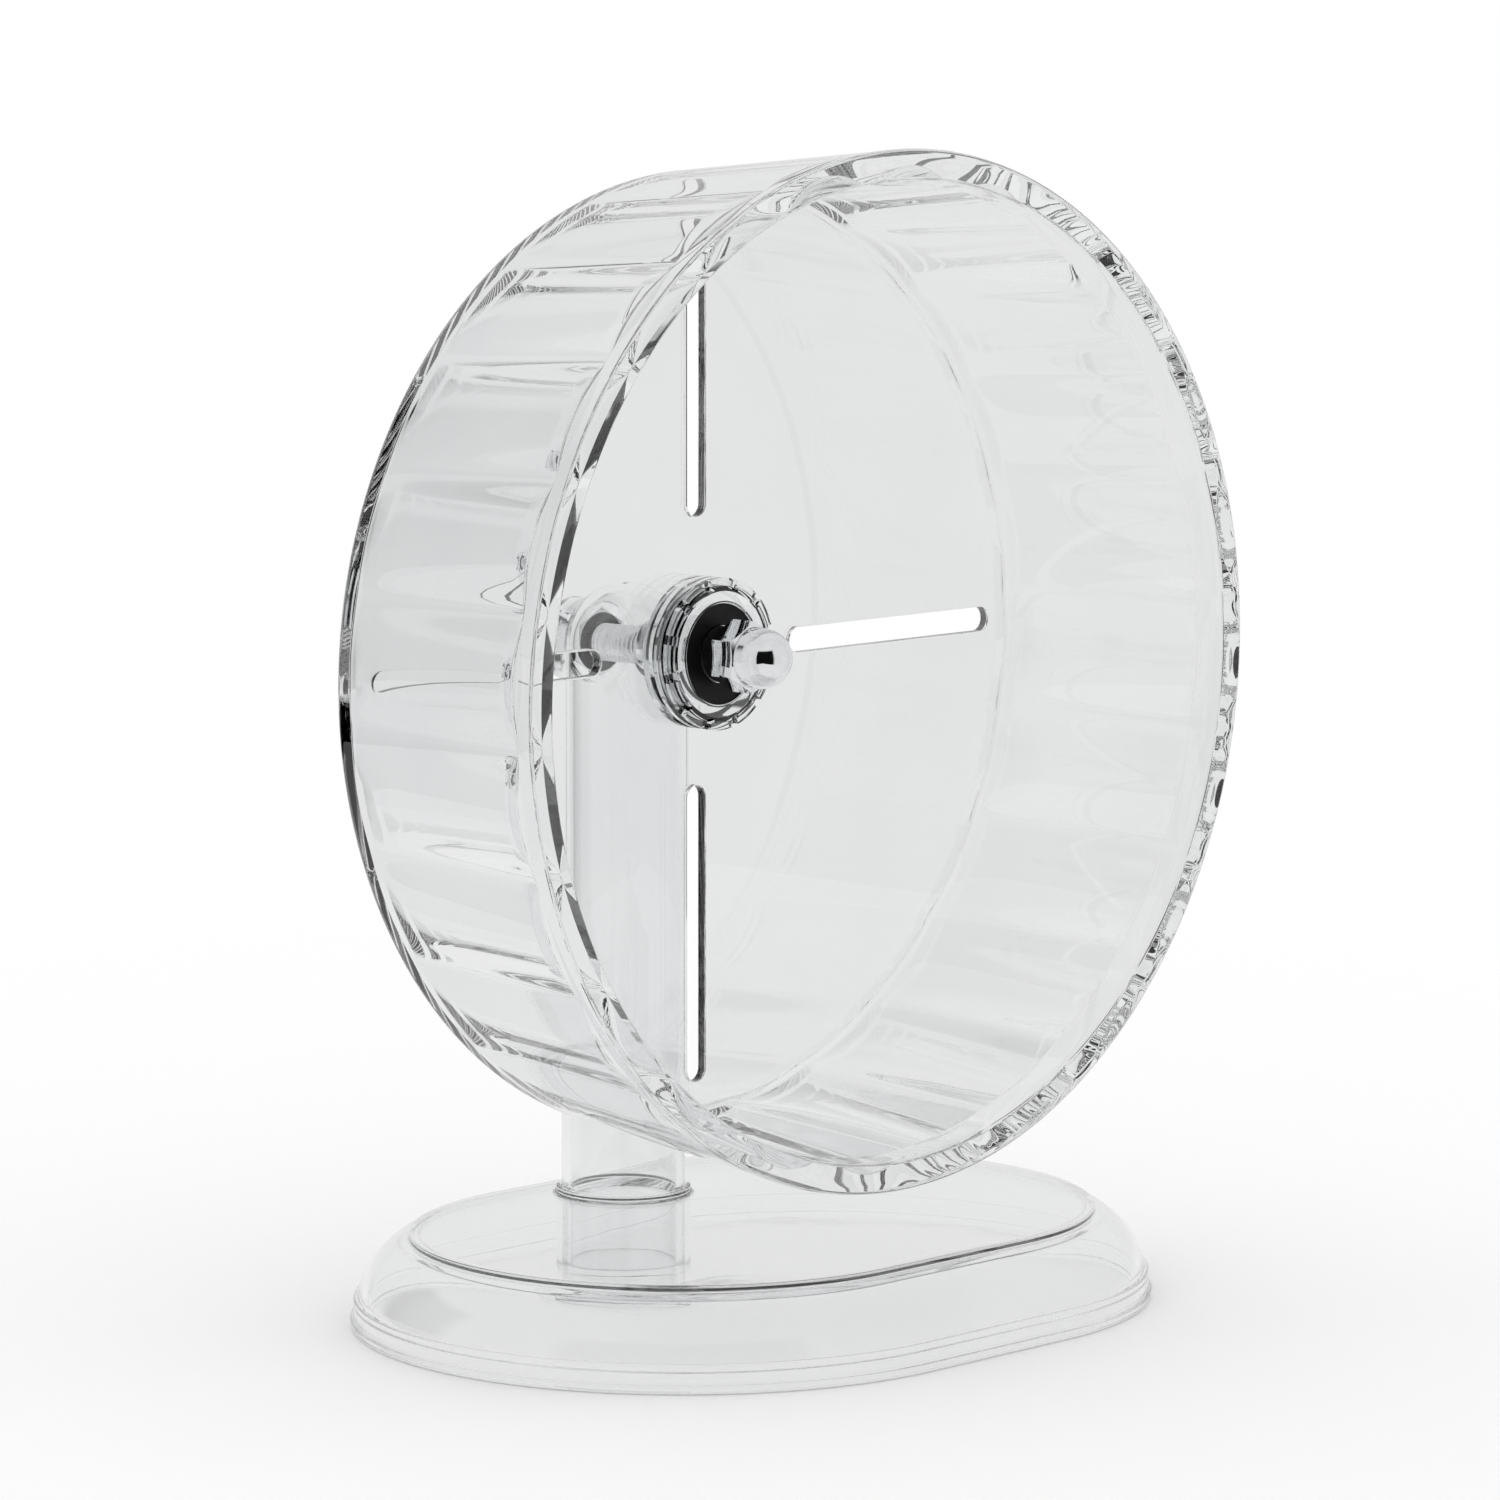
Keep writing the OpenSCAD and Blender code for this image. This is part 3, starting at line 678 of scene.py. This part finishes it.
def set_floor():
    """Pale floor that reads white and keeps the soft shadow, and looks evenly lit through clear pieces."""
    mesh = bpy.data.meshes.new("floor")
    signs = [(-1, -1), (1, -1), (1, 1), (-1, 1)]
    corners = [(x * FLOOR_HALF, y * FLOOR_HALF, -FLOOR_DROP) for x, y in signs]
    mesh.from_pydata(corners, [], [(0, 1, 2, 3)])
    floor = bpy.data.objects.new("floor", mesh)
    bpy.context.scene.collection.objects.link(floor)
    material, tree, shader = new_material("floor_paper")
    mesh.materials.append(material)
    shader.inputs["Roughness"].default_value = 0.9
    shader.inputs["Specular IOR Level"].default_value = 0
    shader.inputs["Emission Color"].default_value = (1, 1, 1, 1)
    path = tree.nodes.new("ShaderNodeLightPath")
    sums = Sums(tree)
    camera = path.outputs["Is Camera Ray"]
    through = sums("MAXIMUM", path.outputs["Is Glossy Ray"], path.outputs["Is Transmission Ray"])
    place = tree.nodes.new("ShaderNodeTexCoord")
    split = tree.nodes.new("ShaderNodeSeparateXYZ")
    tree.links.new(place.outputs["Object"], split.inputs[0])
    x = split.outputs["X"]
    y = split.outputs["Y"]
    # A dark card beside the left end of the base, for light that the rim turned once
    from_end = sums.length(sums("ADD", x, base_high.x - base_high.y), y)
    card = sums("MULTIPLY", sums("LESS_THAN", x, FLOOR_CARD_X), sums("GREATER_THAN", from_end, base_high.y))
    open_floor = sums("SUBTRACT", 1, sums("MULTIPLY", card, through_rim(sums, path, 1)))
    tone = sums("ADD", FLOOR_SEEN_TONE, sums("MULTIPLY", camera, FLOOR_TONE - FLOOR_SEEN_TONE))
    far = sums.ease(sums.length(x, y), FLOOR_NEAR_R, FLOOR_FAR_R)
    glow = sums("SUBTRACT", FLOOR_SEEN_GLOW, sums("MULTIPLY", far, FLOOR_SEEN_GLOW - FLOOR_FAR_GLOW))
    glow = sums("MULTIPLY", through, glow)
    glow = sums("ADD", glow, sums("MULTIPLY", camera, 1 - FLOOR_TONE))
    tree.links.new(sums("MULTIPLY", tone, open_floor), shader.inputs["Base Color"])
    tree.links.new(sums("MULTIPLY", glow, open_floor), shader.inputs["Emission Strength"])


def set_camera():
    """Camera at the viewing angle of the photo, with its shift."""
    data = bpy.data.cameras.new("photo_view")
    camera = bpy.data.objects.new("photo_view", data)
    bpy.context.scene.collection.objects.link(camera)
    bpy.context.scene.camera = camera
    level = math.cos(VIEW_ELEVATION)
    across = math.sin(VIEW_AZIMUTH) * level
    along = -math.cos(VIEW_AZIMUTH) * level
    back = Vector((across, along, math.sin(VIEW_ELEVATION)))
    camera.location = VIEW_TARGET + back * VIEW_DISTANCE
    camera.rotation_mode = "QUATERNION"
    camera.rotation_quaternion = (-back).to_track_quat("-Z", "Y")
    data.sensor_width = SENSOR
    data.lens = SENSOR * FOCAL_PIXELS / PHOTO_SIDE
    data.shift_x = 0.5 - TARGET_PIXEL[0] / PHOTO_SIDE
    data.shift_y = TARGET_PIXEL[1] / PHOTO_SIDE - 0.5
    data.clip_start = 0.01
    data.clip_end = 100


def dress_node(name, material):
    """Gives a CAD node its finish."""
    mesh = NODES[name].data
    mesh.materials.clear()
    mesh.materials.append(material)


set_camera()
set_world()
set_floor()
build_drum()
build_base()
for finish, names in FINISHES:
    for name in names:
        dress_node(name, finish)

bpy.context.scene.view_settings.view_transform = "Standard"
bpy.context.scene.cycles.max_bounces = ALL_BOUNCES
bpy.context.scene.cycles.transmission_bounces = CLEAR_BOUNCES
bpy.context.scene.cycles.glossy_bounces = MIRROR_BOUNCES
